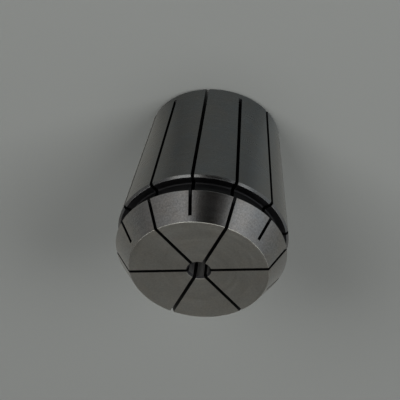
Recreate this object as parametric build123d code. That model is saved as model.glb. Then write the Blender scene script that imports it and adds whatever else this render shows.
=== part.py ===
"""Size 40 spring collet for a 5 mm tool shank.

One slotted steel sleeve: a short nose cone with a flat face, a groove for the
clamping nut's ring, and a long 8 degree taper that seats in the spindle.
Slots run in from the face and from the back end by turns, so the sleeve is
one zigzag ring that closes evenly on the shank. A disc saw cuts them, so each
slot ends in an arc: it goes further at the outside than at the bore.

Millimetres. The collet stands on its small back end, +Z up the axis towards
the nose. The origin is the centre of the back end.
"""

import os
from math import radians, sqrt, tan

from build123d import *

os.makedirs("parts", exist_ok=True)

# Overall form
overall_length = 46.0
body_diameter = 41.0          # largest diameter of taper and nose
taper_angle = 8.0             # half angle of the seating taper, degrees
back_edge_chamfer = 0.7
shoulder_chamfer = 0.5        # front edge of the seating taper

# Nose
nose_length = 6.7
nose_angle = 30.0             # half angle of the nose cone, degrees
nose_edge_break = 0.1         # small break on both rims of the nose cone

# Groove behind the nose
groove_width = 4.6
groove_depth = 2.5
groove_corner_radius = 0.4

# Bore
bore_diameter = 5.0
bore_length = 22.0            # clamping length, from the face
bore_mouth_chamfer = 0.5
relief_diameter = 10.0        # wider bore behind the clamping length
relief_cone_length = 2.5      # step between the two bores
relief_mouth_chamfer = 0.5

# Slots
slots_per_end = 6
slot_width = 0.85
front_web = 1.35              # face to the outer end of a back slot
back_web = 2.3                # back end to the outer end of a front slot
saw_diameter = 63.0           # the saw's rim just reaches the axis
saw_overrun = 1.0             # run of the saw past the end it enters from

# Heights and radii that follow from the dimensions above
face_z = overall_length
nose_back_z = face_z - nose_length
nose_rim_z = nose_back_z + nose_edge_break
shoulder_z = nose_back_z - groove_width
taper_top_z = shoulder_z - shoulder_chamfer
bore_end_z = face_z - bore_length
relief_top_z = bore_end_z - relief_cone_length

body_radius = body_diameter / 2
groove_radius = body_radius - groove_depth
bore_radius = bore_diameter / 2
relief_radius = relief_diameter / 2
saw_radius = saw_diameter / 2


def taper_radius(z):
    """Radius of the seating taper at height z."""
    return body_radius - (taper_top_z - z) * tan(radians(taper_angle))


def nose_radius(z):
    """Radius of the nose cone at height z."""
    return body_radius - (z - nose_rim_z) * tan(radians(nose_angle))


def outer_profile():
    """Outside of the collet from the back end up to the face."""
    return [
        (0, 0),
        (taper_radius(0) - back_edge_chamfer, 0),
        (taper_radius(back_edge_chamfer), back_edge_chamfer),
        (body_radius, taper_top_z),
        (body_radius - shoulder_chamfer, shoulder_z),
        (groove_radius, shoulder_z),
        (groove_radius, nose_back_z),
        (body_radius - nose_edge_break, nose_back_z),
        (body_radius, nose_rim_z),
        (nose_radius(face_z - nose_edge_break), face_z - nose_edge_break),
        (nose_radius(face_z) - nose_edge_break, face_z),
        (0, face_z),
    ]


def bore_profile():
    """Clamping bore, its mouth chamfer and the wider relief bore behind it."""
    return [
        (0, 0),
        (relief_radius + relief_mouth_chamfer, 0),
        (relief_radius, relief_mouth_chamfer),
        (relief_radius, relief_top_z),
        (bore_radius, bore_end_z),
        (bore_radius, face_z - bore_mouth_chamfer),
        (bore_radius + bore_mouth_chamfer, face_z),
        (0, face_z),
    ]


def half_section(points):
    """Closed half section in the XZ plane."""
    return Plane.XZ * make_face(Polyline(*points, close=True))


def saw_reach(radius):
    """How far the saw's rim runs past its centre, measured at this radius."""
    return sqrt(saw_radius**2 - (saw_radius - radius) ** 2)


def saw_cut(angle, centre_z, run):
    """Radial cut of a saw that ran from its last centre height back by run."""
    disc = Pos(saw_radius, 0, centre_z) * Rot(90, 0, 0) * Cylinder(saw_radius, slot_width)
    path = Pos(0, 0, centre_z - run / 2) * Box(
        2 * saw_radius, slot_width, abs(run),
        align=(Align.MIN, Align.CENTER, Align.CENTER),
    )
    return Rot(0, 0, angle) * (disc + path)


# Turned sleeve
section = half_section(outer_profile())
groove_corners = [
    corner for corner in section.vertices()
    if abs(corner.X - groove_radius) < 1e-6
]
section = fillet(groove_corners, groove_corner_radius)
collet = revolve(section, Axis.Z) - revolve(half_section(bore_profile()), Axis.Z)

# Slots, alternately from the face and from the back end
front_slot_centre = back_web + saw_reach(taper_radius(back_web))
back_slot_centre = face_z - front_web - saw_reach(nose_radius(face_z - front_web))
front_run = front_slot_centre - face_z - saw_overrun
back_run = back_slot_centre + saw_overrun
slot_step = 360 / slots_per_end
for index in range(slots_per_end):
    front_angle = index * slot_step
    back_angle = front_angle + slot_step / 2
    collet -= saw_cut(front_angle, front_slot_centre, front_run)
    collet -= saw_cut(back_angle, back_slot_centre, back_run)

collet.label = "collet"
export_step(collet, "parts/collet.step")
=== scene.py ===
from math import cos, pi, radians, sin, tan

import bmesh
import bpy
from mathutils import Matrix, Vector


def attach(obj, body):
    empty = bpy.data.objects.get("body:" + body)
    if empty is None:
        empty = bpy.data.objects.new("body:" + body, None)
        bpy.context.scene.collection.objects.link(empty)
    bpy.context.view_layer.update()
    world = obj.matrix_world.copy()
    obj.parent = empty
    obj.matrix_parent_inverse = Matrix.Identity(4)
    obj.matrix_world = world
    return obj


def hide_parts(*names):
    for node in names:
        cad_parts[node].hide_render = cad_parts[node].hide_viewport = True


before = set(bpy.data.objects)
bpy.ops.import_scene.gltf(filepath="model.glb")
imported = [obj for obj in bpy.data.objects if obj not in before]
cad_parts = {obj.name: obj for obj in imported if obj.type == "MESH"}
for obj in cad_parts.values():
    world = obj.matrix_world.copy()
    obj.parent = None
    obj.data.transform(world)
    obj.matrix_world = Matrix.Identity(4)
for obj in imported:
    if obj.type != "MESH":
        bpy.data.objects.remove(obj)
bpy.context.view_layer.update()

MM = 0.001

# Sizes of the collet in millimetres, as in the solid model
LENGTH = 46.0
BODY_RADIUS = 20.5
TAPER_ANGLE = 8.0
NOSE_ANGLE = 30.0
NOSE_LENGTH = 6.7
GROOVE_WIDTH = 4.6
GROOVE_DEPTH = 2.5
SHOULDER_CHAMFER = 0.5
BACK_CHAMFER = 0.7
BORE_RADIUS = 2.5
BORE_LENGTH = 22.0
BORE_CHAMFER = 0.5
RELIEF_RADIUS = 5.0
RELIEF_CONE = 2.5
RELIEF_CHAMFER = 0.5
SLOTS_PER_END = 6
SLOT_WIDTH = 0.85
FRONT_WEB = 1.35
BACK_WEB = 2.3
SLOT_EDGE_BREAK = 0.07
SAW_RADIUS = 31.5
SAW_OVERRUN = 1.0         # run of the saw past the end it enters from
NOSE_BEVEL_HEIGHT = 0.1   # small bevel at the back of the nose
NOSE_BEVEL_DEPTH = 0.05

NOSE_BACK = LENGTH - NOSE_LENGTH
NOSE_RIM = NOSE_BACK + NOSE_BEVEL_HEIGHT
SHOULDER = NOSE_BACK - GROOVE_WIDTH
TAPER_TOP = SHOULDER - SHOULDER_CHAMFER
GROOVE_RADIUS = BODY_RADIUS - GROOVE_DEPTH
BORE_END = LENGTH - BORE_LENGTH
RELIEF_TOP = BORE_END - RELIEF_CONE

# How finely the shapes are drawn
STEPS_AROUND = 240        # faces round the sleeve
SAW_STEPS = 160           # edges of the saw's rim
ARC_STEP = 12.0           # degrees between the points of a rounding
GUARD = 0.06              # from the end of a rounding to its guard point
LONGEST_STRETCH = 4.0     # longest stretch of the section without a point
SHARP_ANGLE = 24.0        # edges above this angle stay sharp, degrees

# Margins for telling the surfaces apart, in millimetres
WELD = 0.001              # points nearer than this count as one
HAIR = 0.01               # beside a flat wall of the nut groove
RADIUS_MARGIN = 0.02      # beside the rims of the two mouths
MOUTH_MARGIN = 0.04       # inside the edge of the bore mouth
FLOOR_MARGIN = 0.05       # under the floor of the nut groove
FACE_BAND = 0.09          # from the face down: counts as face
BORE_BAND = 0.1           # from the face down: not yet bore
RIM_BAND = 0.2            # from the face down: still part of the outside line

# Wedge that breaks a slot's edges, in parts of the edge break
WEDGE_OPENING = 1.6       # beyond the slot's side, above the surface
WEDGE_FOOT = 0.1          # inside the slot's side, at the bottom
WEDGE_ABOVE = 0.6         # height above the surface
WEDGE_BELOW = 1.1         # depth below it


def taper_radius(z):
    return BODY_RADIUS - (TAPER_TOP - z) * tan(radians(TAPER_ANGLE))


def nose_radius(z):
    return BODY_RADIUS - (z - NOSE_RIM) * tan(radians(NOSE_ANGLE))


# ---------------------------------------------------------------- section

# Corners of the half section, (radius, height, rounding), first the outside
# from the bore mouth over the face down to the back end, then up the bore.
OUTSIDE = [
    (BORE_RADIUS + BORE_CHAMFER, LENGTH, 0.10),
    (nose_radius(LENGTH), LENGTH, 0.22),
    (BODY_RADIUS, NOSE_RIM, 0.12),
    (BODY_RADIUS - NOSE_BEVEL_DEPTH, NOSE_BACK, 0.05),
    (GROOVE_RADIUS, NOSE_BACK, 0.40),
    (GROOVE_RADIUS, SHOULDER, 0.40),
    (BODY_RADIUS - SHOULDER_CHAMFER, SHOULDER, 0.12),
    (BODY_RADIUS, TAPER_TOP, 0.12),
    (taper_radius(BACK_CHAMFER), BACK_CHAMFER, 0.30),
    (taper_radius(0) - BACK_CHAMFER, 0.0, 0.30),
    (RELIEF_RADIUS + RELIEF_CHAMFER, 0.0, 0.12),
]
INSIDE = [
    (RELIEF_RADIUS, RELIEF_CHAMFER, 0.12),
    (RELIEF_RADIUS, RELIEF_TOP, 0.30),
    (BORE_RADIUS, BORE_END, 0.15),
    (BORE_RADIUS, LENGTH - BORE_CHAMFER, 0.10),
]


def rounded_section(corners, side_share=0.45, guard_share=0.3):
    """Closed line of points through the corners, each one rounded by an arc.

    A guard point on each straight side of an arc keeps the shading of the
    long faces even up to the rounding. An arc takes up at most side_share of
    a side, and a guard point at most guard_share of what is left of it.
    """
    line = []
    count = len(corners)
    for i, (r, z, size) in enumerate(corners):
        here = Vector((r, z))
        before = Vector(corners[i - 1][:2]) - here
        after = Vector(corners[(i + 1) % count][:2]) - here
        a, b = before.normalized(), after.normalized()
        half = a.angle(b) / 2
        run = min(size / tan(half), side_share * before.length, side_share * after.length)
        radius = run * tan(half)
        centre = here + (a + b).normalized() * (radius / sin(half))
        start, end = here + a * run, here + b * run
        turn = pi - 2 * half
        steps = max(2, round(turn / radians(ARC_STEP)))
        line.append(start + a * min(GUARD, guard_share * (before.length - run)))
        first = start - centre
        last = end - centre
        for k in range(steps + 1):
            t = k / steps
            mix = (sin((1 - t) * turn) * first + sin(t * turn) * last) / sin(turn)
            line.append(centre + mix)
        line.append(end + b * min(GUARD, guard_share * (after.length - run)))
    full = []
    for i, point in enumerate(line):
        following = line[(i + 1) % len(line)]
        full.append(point)
        parts = int((following - point).length // LONGEST_STRETCH) + 1
        for k in range(1, parts):
            full.append(point.lerp(following, k / parts))
    return full


def line_object(name, points):
    """Points (radius, height) in millimetres as a closed line in the XZ plane."""
    mesh = bpy.data.meshes.new(name)
    edges = [(i, (i + 1) % len(points)) for i in range(len(points))]
    mesh.from_pydata([(r * MM, 0, z * MM) for r, z in points], edges, [])
    ob = bpy.data.objects.new(name, mesh)
    bpy.context.scene.collection.objects.link(ob)
    return ob


# ---------------------------------------------------------------- node tools

class Tree:
    """Small helper that adds and links nodes of one tree."""

    def __init__(self, tree):
        self.tree = tree

    def node(self, kind, inputs=None, **settings):
        made = self.tree.nodes.new(kind)
        for key, value in settings.items():
            setattr(made, key, value)
        for key, value in (inputs or {}).items():
            self.feed(made.inputs[key], value)
        return made

    def feed(self, socket, value):
        """Links one output or a list of them, or sets a plain value."""
        items = value if isinstance(value, (list, tuple)) else [value]
        if isinstance(items[0], bpy.types.NodeSocket):
            for item in items:
                self.tree.links.new(item, socket)
        else:
            socket.default_value = value

    def maths(self, operation, a, b=0.0, c=0.0):
        made = self.tree.nodes.new("ShaderNodeMath")
        made.operation = operation
        for socket, value in zip(made.inputs, (a, b, c)):
            self.feed(socket, value)
        return made.outputs[0]

    def plus(self, a, b):
        return self.maths("ADD", a, b)

    def minus(self, a, b):
        return self.maths("SUBTRACT", a, b)

    def times(self, a, b):
        return self.maths("MULTIPLY", a, b)

    def length(self, x, y):
        """Distance of (x, y) from the axis."""
        return self.maths("SQRT", self.plus(self.times(x, x), self.times(y, y)))


def new_tree(name, inputs):
    """Geometry node tree with a geometry in and out and the named inputs."""
    tree = bpy.data.node_groups.new(name, "GeometryNodeTree")
    sockets = tree.interface
    sockets.new_socket("Section", in_out="INPUT", socket_type="NodeSocketGeometry")
    for label, kind, value in inputs:
        socket = sockets.new_socket(label, in_out="INPUT", socket_type=kind)
        socket.default_value = value
    sockets.new_socket("Collet", in_out="OUTPUT", socket_type="NodeSocketGeometry")
    return Tree(tree)


def set_input(modifier, label, value):
    """Sets a named input of a node modifier through its identifier."""
    for item in modifier.node_group.interface.items_tree:
        is_input = item.item_type == "SOCKET" and item.in_out == "INPUT"
        if is_input and item.name == label:
            modifier[item.identifier] = value
            return
    raise KeyError(label)


# ---------------------------------------------------------------- metals

def metal(name, colour, roughness, grain, depth, anisotropic=0.0, streak=0.0,
        mottle=0.0, fleck=0.0, peen=0.0, stain=0.0, broad_rough=0.5, patch_rough=0.25):
    """Machined steel with fine marks that run round the axis.

    grain is the spacing of the marks in millimetres, depth their height.
    streak and mottle vary the colour along the marks and in soft patches.
    fleck is the contrast and peen the height of the small spots that
    grinding leaves. stain turns patches warmer or cooler, as oil does.
    broad_rough and patch_rough vary the roughness like the broad marks and
    the soft patches.
    """
    material = bpy.data.materials.new(name)
    material.use_nodes = True
    t = Tree(material.node_tree)
    shader = material.node_tree.nodes["Principled BSDF"]
    shader.inputs["Metallic"].default_value = 1.0
    shader.inputs["Anisotropic"].default_value = anisotropic
    shader.inputs["Anisotropic Rotation"].default_value = 0.25

    place = t.node("ShaderNodeTexCoord")
    axes = t.node("ShaderNodeSeparateXYZ", {"Vector": place.outputs["Object"]})
    x, y, z = axes.outputs
    along = t.minus(z, t.length(x, y))

    def marks(spacing, length, detail):
        """Noise drawn out round the axis: spacing across, length along."""
        vector = t.node("ShaderNodeCombineXYZ", {
            "X": t.times(x, 1000 / length),
            "Y": t.times(y, 1000 / length),
            "Z": t.times(along, 1000 / spacing),
        })
        return t.node("ShaderNodeTexNoise", {
            "Vector": vector.outputs[0], "Scale": 1.0, "Detail": detail, "Roughness": 0.6,
        }).outputs["Fac"]

    def blots(scale, detail, rough):
        """Noise of the same grain in every direction."""
        return t.node("ShaderNodeTexNoise", {
            "Vector": place.outputs["Object"], "Scale": scale, "Detail": detail, "Roughness": rough,
        }).outputs["Fac"]

    def swing(value, amount):
        """A factor round one that follows a noise value."""
        return t.maths("MULTIPLY_ADD", t.minus(value, 0.5), amount, 1.0)

    fine = marks(grain, length=5.0, detail=3.0)
    broad = marks(grain * 5, length=9.0, detail=2.0)
    patch = blots(scale=90.0, detail=2.0, rough=0.5)
    film = blots(scale=260.0, detail=3.0, rough=0.6)
    spots = blots(scale=2600.0, detail=2.0, rough=0.6)

    tone = t.times(
        t.times(swing(fine, streak), swing(broad, streak)),
        t.times(swing(patch, mottle), swing(spots, fleck)))
    toned = t.node("ShaderNodeVectorMath", {0: colour, "Scale": tone}, operation="SCALE")
    warmth = t.node("ShaderNodeCombineXYZ", {
        "X": swing(film, stain), "Y": 1.0, "Z": swing(film, -stain),
    })
    tint = t.node("ShaderNodeVectorMath", {
        0: toned.outputs[0], 1: warmth.outputs[0],
    }, operation="MULTIPLY")
    t.feed(shader.inputs["Base Color"], tint.outputs[0])
    uneven = t.times(swing(broad, broad_rough), swing(patch, patch_rough))
    t.feed(shader.inputs["Roughness"], t.times(uneven, roughness))
    relief = t.maths("MULTIPLY_ADD", spots, peen * MM, t.times(fine, depth * MM))
    bump = t.node("ShaderNodeBump", {"Height": relief, "Distance": 1.0, "Strength": 1.0})
    t.feed(shader.inputs["Normal"], bump.outputs[0])
    if anisotropic:
        tangent = t.node("ShaderNodeTangent", direction_type="RADIAL", axis="Z")
        t.feed(shader.inputs["Tangent"], tangent.outputs[0])
    return material


# Painted shade: the taper's colour is about half that of bare steel, which darkens what the body
# mirrors
ground_taper_painted_shade = metal("ground_taper_steel", (0.275, 0.279, 0.279),
    roughness=0.26, grain=0.10, depth=0.0012,
    anisotropic=0.5, streak=0.16, mottle=0.2, fleck=0.4, peen=0.002, stain=0.15)
# Painted shade: the nose's colour is darker than bare steel, which darkens what the cone mirrors
ground_nose_painted_shade = metal("ground_nose_steel", (0.36, 0.355, 0.35),
    roughness=0.21, grain=0.12, depth=0.0012,
    anisotropic=0.5, streak=0.22, mottle=0.2, fleck=0.95, peen=0.012, stain=0.15)
turned_face = metal("turned_face_steel", (0.56, 0.552, 0.501),
    roughness=0.33, grain=0.16, depth=0.0005,
    anisotropic=0.15, streak=0.05, mottle=0.14, fleck=0.45, peen=0.004, stain=0.08)
dark_finish = metal("dark_finish_steel", (0.065, 0.065, 0.068),
    roughness=0.50, grain=0.30, depth=0.012,
    streak=0.6, mottle=0.4)
honed_bore = metal("honed_bore_steel", (0.22, 0.217, 0.212),
    roughness=0.66, grain=0.10, depth=0.001,
    anisotropic=0.9, streak=0.2, mottle=0.2)


# ---------------------------------------------------------------- collet

def collet_tree():
    """Turns the section round the axis and saws the slots."""
    t = new_tree("slotted_collet", [
        ("Steps Around", "NodeSocketInt", STEPS_AROUND),
        ("Slots per End", "NodeSocketInt", SLOTS_PER_END),
        ("Slot Width", "NodeSocketFloat", SLOT_WIDTH * MM),
        ("Length", "NodeSocketFloat", LENGTH * MM),
        ("Bore Radius", "NodeSocketFloat", BORE_RADIUS * MM),
        ("Bore Chamfer", "NodeSocketFloat", BORE_CHAMFER * MM),
        ("Relief Mouth", "NodeSocketFloat", (RELIEF_RADIUS + RELIEF_CHAMFER) * MM),
        ("Front Web", "NodeSocketFloat", FRONT_WEB * MM),
        ("Front Web Radius", "NodeSocketFloat", nose_radius(LENGTH - FRONT_WEB) * MM),
        ("Back Web", "NodeSocketFloat", BACK_WEB * MM),
        ("Back Web Radius", "NodeSocketFloat", taper_radius(BACK_WEB) * MM),
        ("Saw Radius", "NodeSocketFloat", SAW_RADIUS * MM),
        ("Edge Break", "NodeSocketFloat", SLOT_EDGE_BREAK * MM),
        ("Groove Floor", "NodeSocketFloat", GROOVE_RADIUS * MM),
        ("Groove Top", "NodeSocketFloat", NOSE_BACK * MM),
        ("Groove Bottom", "NodeSocketFloat", SHOULDER * MM),
    ])
    given = t.node("NodeGroupInput").outputs
    sized = {socket.name: socket for socket in given}
    section = given["Section"]
    steps = sized["Steps Around"]

    # Turned sleeve: a grid whose rows take the points of the section
    count = t.node("GeometryNodeAttributeDomainSize", {0: section}).outputs["Point Count"]
    rows = t.plus(count, 1)
    grid = t.node("GeometryNodeMeshGrid", {"Vertices X": t.plus(steps, 1), "Vertices Y": rows})
    index = t.node("GeometryNodeInputIndex").outputs[0]
    column = t.maths("FLOOR", t.maths("DIVIDE", t.plus(index, 0.5), rows))
    row = t.maths("MODULO", t.minus(index, t.times(column, rows)), count)
    position = t.node("GeometryNodeInputPosition").outputs[0]
    point = t.node("GeometryNodeSampleIndex", data_type="FLOAT_VECTOR", domain="POINT")
    t.feed(point.inputs[0], section)
    t.feed(point.inputs[1], position)
    t.feed(point.inputs["Index"], row)
    parts = t.node("ShaderNodeSeparateXYZ", {0: point.outputs[0]})
    angle = t.times(t.maths("DIVIDE", column, steps), 2 * pi)
    spun = t.node("ShaderNodeCombineXYZ", {
        "X": t.times(parts.outputs["X"], t.maths("COSINE", angle)),
        "Y": t.times(parts.outputs["X"], t.maths("SINE", angle)),
        "Z": parts.outputs["Z"],
    })
    turned = t.node("GeometryNodeSetPosition", {
        "Geometry": grid.outputs["Mesh"], "Position": spun.outputs[0],
    })
    welded = t.node("GeometryNodeMergeByDistance", {
        "Geometry": turned.outputs[0], "Distance": WELD * MM,
    })

    # Finishes of the turned surfaces, chosen by where each face lies
    centre = t.node("ShaderNodeSeparateXYZ", {0: position})
    height = centre.outputs["Z"]
    reach = t.length(centre.outputs["X"], centre.outputs["Y"])

    def every(*tests):
        result = tests[0]
        for test in tests[1:]:
            result = t.times(result, test)
        return result

    def over(value, limit):
        return t.maths("GREATER_THAN", value, limit)

    def under(value, limit):
        return t.maths("LESS_THAN", value, limit)

    def below_face(depth):
        return t.minus(sized["Length"], depth)

    def finish(mesh, material, selection=None):
        made = t.node("GeometryNodeSetMaterial", {"Geometry": mesh})
        if selection is not None:
            t.feed(made.inputs["Selection"], selection)
        made.inputs["Material"].default_value = material
        return made.outputs[0]

    mouth = t.plus(sized["Bore Radius"], sized["Bore Chamfer"])
    relief_rim = t.minus(sized["Relief Mouth"], RADIUS_MARGIN * MM)
    sleeve = finish(welded.outputs[0], ground_taper_painted_shade)
    sleeve = finish(sleeve, ground_nose_painted_shade, over(height, sized["Groove Top"]))
    sleeve = finish(sleeve, turned_face, over(height, below_face(FACE_BAND * MM)))
    sleeve = finish(sleeve, honed_bore, every(
        under(reach, t.maths("MAXIMUM", mouth, relief_rim)),
        under(height, below_face(BORE_BAND * MM))))
    sleeve = finish(sleeve, dark_finish, every(
        under(reach, t.minus(mouth, MOUTH_MARGIN * MM)),
        over(height, below_face(sized["Bore Chamfer"]))))

    # Saw blades and edge breaks, one of each for every slot
    def ring(instance, first):
        points = t.node("GeometryNodePoints", {"Count": sized["Slots per End"]})
        step = t.maths("DIVIDE", 2 * pi, sized["Slots per End"])
        turn = t.times(t.plus(index, first), step)
        around = t.node("ShaderNodeCombineXYZ", {"Z": turn})
        placed = t.node("GeometryNodeInstanceOnPoints", {
            "Points": points.outputs[0], "Instance": instance, "Rotation": around.outputs[0],
        })
        return placed.outputs[0]

    def saw_reach(radius):
        """How far the saw's rim runs past its centre at this radius."""
        saw = sized["Saw Radius"]
        inward = t.minus(saw, radius)
        return t.maths("SQRT", t.minus(t.times(saw, saw), t.times(inward, inward)))

    def saw_cut(centre_height, far_end, upward):
        """Saw disc at the end of its run, drawn out to where it came from."""
        disc = t.node("GeometryNodeMeshCylinder", {
            "Vertices": SAW_STEPS, "Radius": sized["Saw Radius"], "Depth": sized["Slot Width"],
        })
        middle = t.node("ShaderNodeCombineXYZ", {"X": sized["Saw Radius"], "Z": centre_height})
        stood = t.node("GeometryNodeTransform", {
            "Geometry": disc.outputs["Mesh"], "Translation": middle.outputs[0],
            "Rotation": (pi / 2, 0, 0),
        })
        behind = over(height, centre_height) if upward else under(height, centre_height)
        end = t.node("ShaderNodeCombineXYZ", {
            "X": centre.outputs["X"], "Y": centre.outputs["Y"], "Z": far_end,
        })
        drawn = t.node("GeometryNodeSetPosition", {
            "Geometry": stood.outputs[0], "Position": end.outputs[0], "Selection": behind,
        })
        return finish(drawn.outputs[0], dark_finish)

    def edge_break(kept):
        """Shallow wedge along the outside line, a little wider than the slot."""
        face_rim = every(
            over(height, below_face(RIM_BAND * MM)),
            over(reach, t.minus(mouth, RADIUS_MARGIN * MM)))
        outside = t.maths("MAXIMUM", over(reach, relief_rim), face_rim)
        part = t.node("GeometryNodeSeparateGeometry", {
            "Geometry": section, "Selection": every(outside, kept),
        }, domain="POINT")
        line = t.node("GeometryNodeMeshToCurve", {0: part.outputs[0]})
        half = t.times(sized["Slot Width"], 0.5)
        lift = sized["Edge Break"]
        top = t.plus(half, t.times(lift, WEDGE_OPENING))
        foot = t.minus(half, t.times(lift, WEDGE_FOOT))
        high = t.times(lift, -WEDGE_ABOVE)
        low = t.times(lift, WEDGE_BELOW)
        wedge = t.node("GeometryNodeCurvePrimitiveQuadrilateral", mode="POINTS")
        corners = ((top, high), (t.times(top, -1), high), (t.times(foot, -1), low), (foot, low))
        for number, (across, down) in enumerate(corners, 1):
            corner = t.node("ShaderNodeCombineXYZ", {"X": across, "Y": down})
            t.feed(wedge.inputs[f"Point {number}"], corner.outputs[0])
        swept = t.node("GeometryNodeCurveToMesh", {
            "Curve": line.outputs[0], "Profile Curve": wedge.outputs[0], "Fill Caps": True,
        })
        return finish(swept.outputs[0], ground_taper_painted_shade)

    back_high = below_face(sized["Front Web"])
    front_centre = t.plus(sized["Back Web"], saw_reach(sized["Back Web Radius"]))
    back_centre = t.minus(back_high, saw_reach(sized["Front Web Radius"]))
    past_face = t.plus(sized["Length"], SAW_OVERRUN * MM)
    tools = [
        ring(saw_cut(front_centre, past_face, upward=True), 0.0),
        ring(saw_cut(back_centre, -SAW_OVERRUN * MM, upward=False), 0.5),
        ring(edge_break(over(height, t.minus(sized["Back Web"], WELD * MM))), 0.0),
        ring(edge_break(under(height, t.plus(back_high, WELD * MM))), 0.5),
    ]
    cut = t.node("GeometryNodeMeshBoolean", operation="DIFFERENCE", solver="EXACT")
    t.feed(cut.inputs["Mesh 1"], sleeve)
    t.feed(cut.inputs["Mesh 2"], tools)

    # The nut groove keeps the dark finish of the saw cuts
    solid = t.node("GeometryNodeRealizeInstances", {0: cut.outputs[0]})
    in_groove = every(
        under(height, t.plus(sized["Groove Top"], HAIR * MM)),
        over(height, t.minus(sized["Groove Bottom"], HAIR * MM)),
        over(reach, t.minus(sized["Groove Floor"], FLOOR_MARGIN * MM)))
    done = finish(solid.outputs[0], dark_finish, in_groove)
    t.node("NodeGroupOutput", {0: done})
    return t.tree


INSIDE_LIMIT = RELIEF_RADIUS + 1.0     # every point of the inside lies nearer the axis


def with_heights(points, heights):
    """The same line with points added where its outside passes the heights."""
    full = []
    for i, point in enumerate(points):
        following = points[(i + 1) % len(points)]
        full.append(point)
        for z in heights:
            if (point.y - z) * (following.y - z) < 0 and point.x > INSIDE_LIMIT:
                full.append(point.lerp(following, (z - point.y) / (following.y - point.y)))
    return full


section_points = with_heights(rounded_section(OUTSIDE + INSIDE), (BACK_WEB, LENGTH - FRONT_WEB))
section_line = line_object("section_line", section_points)
maker = section_line.modifiers.new("slotted_collet", "NODES")
maker.node_group = collet_tree()
set_input(maker, "Steps Around", STEPS_AROUND)

evaluated = section_line.evaluated_get(bpy.context.evaluated_depsgraph_get())
body_mesh = bpy.data.meshes.new_from_object(evaluated)
section_line.modifiers.remove(maker)
bpy.data.objects.remove(section_line)

body_mesh.name = "collet_body"
for number in reversed(range(len(body_mesh.materials))):
    if body_mesh.materials[number] is None:
        body_mesh.materials.pop(index=number)
body_mesh.shade_smooth()
body_mesh.set_sharp_from_angle(angle=radians(SHARP_ANGLE))
collet_body = bpy.data.objects.new("collet_body", body_mesh)
bpy.context.scene.collection.objects.link(collet_body)

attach(collet_body, "root")
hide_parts("collet")


# ---------------------------------------------------------------- studio

VIEW_AZIMUTH = 78.08      # side of the collet that faces the camera, degrees
MIDDLE = (0, 0, 0.02)     # the lamps stand round this place and point at it
GREEN_LIFT = 1.005        # keeps the glow from turning pink


def around(azimuth, elevation, distance=1.6):
    """A place round the collet; azimuth counts from the camera's side."""
    a, e = radians(VIEW_AZIMUTH + azimuth), radians(elevation)
    return Vector(MIDDLE) + distance * Vector((cos(e) * cos(a), cos(e) * sin(a), sin(e)))


def softbox(name, place, width, height, glow, colour=(1, 1, 1)):
    """Rectangular lamp with the given glow, as seen in a perfect mirror."""
    data = bpy.data.lights.new(name, "AREA")
    data.shape = "RECTANGLE"
    data.size, data.size_y = width, height
    data.energy = glow * pi * width * height
    data.color = colour
    lamp = bpy.data.objects.new(name, data)
    lamp.location = place
    lamp.rotation_euler = (Vector(MIDDLE) - place).to_track_quat("-Z", "Y").to_euler()
    bpy.context.scene.collection.objects.link(lamp)
    return lamp


# What the metal mirrors: a weak one overhead, windows before the collet and
# strips behind it that draw a light line along the edge of the face
overhead = softbox("overhead", around(0, 88), width=1.6, height=0.8, glow=1.5)
overhead.visible_diffuse = False
softbox("left_window", around(34, 46), width=0.75, height=0.44, glow=0.9,
    colour=(1.0, 1.0, 0.97))
softbox("right_window", around(-48, 42), width=0.3, height=0.4, glow=0.6,
    colour=(0.9, 0.95, 1.0))
for name, side in (("left_strip", 112), ("right_strip", -112)):
    strip = softbox(name, around(side, 48), width=0.6, height=0.5, glow=1.2)
    strip.visible_diffuse = False

# What lights the paper: one overhead and a pair for soft shadows behind the collet
top_fill = softbox("top_fill", around(0, 88), width=0.9, height=0.9, glow=2.4)
top_fill.visible_glossy = False
for name, side in (("left_fill", 36), ("right_fill", -38)):
    fill = softbox(name, around(side, 36, distance=1.5), width=0.8, height=0.5, glow=8.8)
    fill.visible_glossy = False


def glow_round(tree, sides, stops):
    """Glow of a place or direction by the side it lies on.

    Each stop is the angle from the camera's side (positive to the camera's
    right), the glow there, and how warm it is.
    """
    x, y = sides.outputs["X"], sides.outputs["Y"]
    view = radians(VIEW_AZIMUTH)
    across = tree.minus(tree.times(x, sin(view)), tree.times(y, cos(view)))
    forward = tree.plus(tree.times(x, cos(view)), tree.times(y, sin(view)))
    angle = tree.maths("ARCTAN2", across, forward)
    turned = tree.maths("MULTIPLY_ADD", angle, 1 / (2 * pi), 0.5)
    ring = tree.node("ShaderNodeValToRGB", {"Fac": turned})
    places = ring.color_ramp.elements
    while len(places) < len(stops):
        places.new(0.5)
    for place, (turn, glow, warmth) in zip(places, stops):
        place.position = 0.5 + turn / 360
        place.color = (glow * (1 + warmth), glow * GREEN_LIFT, glow * (1 - warmth), 1)
    return ring.outputs["Color"]


PAPER_COLOUR = (0.277, 0.286, 0.275, 1)

# Walls of the studio round the collet; they fade upwards, from the first
# height to the second (sine of the angle), down to a share of their glow
FADE_HEIGHTS = (0.22, 0.75)
FADE_LEFT = 0.4
WALL_GLOW = [
    (-180, 0.20, 0.02), (-130, 0.14, 0.01), (-85, 0.155, 0.01), (-63, 0.27, 0.01), (-42, 0.38, 0.01),
    (-30, 0.49, 0.01), (-20, 0.35, 0.01), (-10, 0.05, 0.03), (0, 0.02, 0.03), (12, 0.02, 0.03),
    (24, 0.12, 0.0), (34, 0.48, -0.01), (43, 0.62, -0.01), (53, 0.62, -0.02), (63, 0.48, -0.04),
    (75, 0.41, -0.04), (91, 0.33, -0.03), (105, 0.28, -0.01), (130, 0.22, 0.0), (180, 0.20, 0.02),
]

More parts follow.
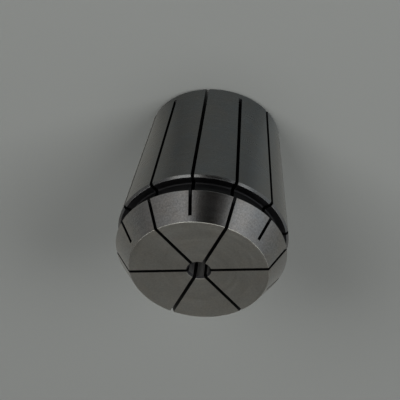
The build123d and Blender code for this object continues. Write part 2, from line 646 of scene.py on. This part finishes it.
world = bpy.data.worlds.new("studio")
bpy.context.scene.world = world
world.use_nodes = True
w = Tree(world.node_tree)
backing = world.node_tree.nodes["Background"]
direction = w.node("ShaderNodeTexCoord").outputs["Generated"]
sides = w.node("ShaderNodeSeparateXYZ", {0: direction})
fade = w.node("ShaderNodeMapRange", {
    "Value": sides.outputs["Z"], "From Min": FADE_HEIGHTS[0], "From Max": FADE_HEIGHTS[1],
    "To Min": 1.0, "To Max": FADE_LEFT,
}, interpolation_type="SMOOTHSTEP")
w.feed(backing.inputs["Color"], glow_round(w, sides, WALL_GLOW))
w.feed(backing.inputs["Strength"], fade.outputs[0])
# The eye sees an even pale backdrop in their place
backdrop = w.node("ShaderNodeBackground", {"Color": PAPER_COLOUR})
shown = w.node("ShaderNodeMixShader", {
    0: w.node("ShaderNodeLightPath").outputs["Is Camera Ray"],
    1: backing.outputs[0], 2: backdrop.outputs[0],
})
w.feed(world.node_tree.nodes["World Output"].inputs["Surface"], shown.outputs[0])

FLOOR_RADIUS = 4.0        # metres
FLOOR_STEPS = 96

floor_mesh = bpy.data.meshes.new("floor")
shape = bmesh.new()
bmesh.ops.create_circle(shape, cap_ends=True, segments=FLOOR_STEPS, radius=FLOOR_RADIUS)
shape.to_mesh(floor_mesh)
shape.free()
floor = bpy.data.objects.new("floor", floor_mesh)
bpy.context.scene.collection.objects.link(floor)
paper = bpy.data.materials.new("pale_paper")
paper.use_nodes = True
paper_shader = paper.node_tree.nodes["Principled BSDF"]
paper_shader.inputs["Base Color"].default_value = PAPER_COLOUR
paper_shader.inputs["Roughness"].default_value = 0.8
paper_shader.inputs["Specular IOR Level"].default_value = 0.2
# Most of what the metal sees of the paper is a glow by the side it lies on,
# given as a share of the paper's own colour: a painted shade, darker on the camera's
# side of the collet and paler beside and behind it. For the eye the paper grows as
# even as the backdrop, from the first distance to the second, in metres
PAPER_MIRRORED = 0.75
EVEN_DISTANCES = (0.15, 0.6)
EVEN_NEAR = 0.1
PAPER_PAINTED_SHADE = [
    (-180, 0.80, 0.03), (-140, 0.86, 0.04), (-105, 0.90, 0.05), (-90, 0.87, 0.05), (-80, 0.76, 0.05),
    (-70, 0.60, 0.04), (-58, 0.50, 0.03), (-52, 0.39, 0.02), (-44, 0.30, 0.0), (-32, 0.38, 0.0),
    (-20, 0.45, -0.01), (0, 0.49, -0.03), (20, 0.48, -0.04), (32, 0.46, -0.05), (42, 0.42, -0.05),
    (52, 0.52, -0.05), (58, 0.66, -0.04), (66, 0.76, -0.02), (90, 0.76, 0.03), (120, 0.86, 0.03),
    (180, 0.80, 0.03),
]
p = Tree(paper.node_tree)
ray = p.node("ShaderNodeLightPath")
mirrored = ray.outputs["Is Glossy Ray"]
on_paper = p.node("ShaderNodeTexCoord").outputs["Object"]
# Painted shade: the paper that the metal mirrors is darker on the camera's side of the collet
painted_shade_shares = glow_round(p, p.node("ShaderNodeSeparateXYZ", {0: on_paper}), PAPER_PAINTED_SHADE)
tone = p.node("ShaderNodeVectorMath", {0: painted_shade_shares, 1: PAPER_COLOUR[:3]}, operation="MULTIPLY")
# The sockets of this node by number: 0 factor, 6 and 7 the two colours
mixed = p.node("ShaderNodeMix", {
    0: mirrored, 6: PAPER_COLOUR, 7: tone.outputs[0],
}, data_type="RGBA")
even = p.node("ShaderNodeEmission", {"Color": mixed.outputs[2]})
distance = p.node("ShaderNodeVectorMath", {0: on_paper}, operation="LENGTH")
away = p.node("ShaderNodeMapRange", {
    "Value": distance.outputs["Value"],
    "From Min": EVEN_DISTANCES[0], "From Max": EVEN_DISTANCES[1],
    "To Min": EVEN_NEAR, "To Max": 1.0,
}, interpolation_type="SMOOTHSTEP")
by_eye = p.times(ray.outputs["Is Camera Ray"], away.outputs[0])
seen = p.maths("MULTIPLY_ADD", mirrored, PAPER_MIRRORED, by_eye)
blend = p.node("ShaderNodeMixShader", {0: seen, 1: paper_shader.outputs[0], 2: even.outputs[0]})
p.feed(paper.node_tree.nodes["Material Output"].inputs["Surface"], blend.outputs[0])
floor_mesh.materials.append(paper)

# Camera: its axes in the collet's frame, and its place counted from the face
SENSOR_WIDTH = 36.0       # millimetres
PICTURE_WIDTH = 400       # dots
FOCAL_LENGTH = 2803.26    # in the same dots
CAMERA_RIGHT = Vector((0.98800076, -0.12484284, -0.09093274))
CAMERA_UP = Vector((0.02078237, 0.69086112, -0.72268873))
CAMERA_PLACE = Vector((0.10214646, 0.48379017, 0.44238317 + LENGTH * MM))

camera_data = bpy.data.cameras.new("camera")
camera_data.sensor_width = SENSOR_WIDTH
camera_data.lens = FOCAL_LENGTH / PICTURE_WIDTH * SENSOR_WIDTH
camera_data.clip_start = 0.05
camera = bpy.data.objects.new("camera", camera_data)
axes = Matrix((CAMERA_RIGHT, CAMERA_UP, CAMERA_RIGHT.cross(CAMERA_UP))).transposed().to_4x4()
camera.matrix_world = Matrix.Translation(CAMERA_PLACE) @ axes
bpy.context.scene.collection.objects.link(camera)
bpy.context.scene.camera = camera

bpy.context.scene.view_settings.view_transform = "Standard"
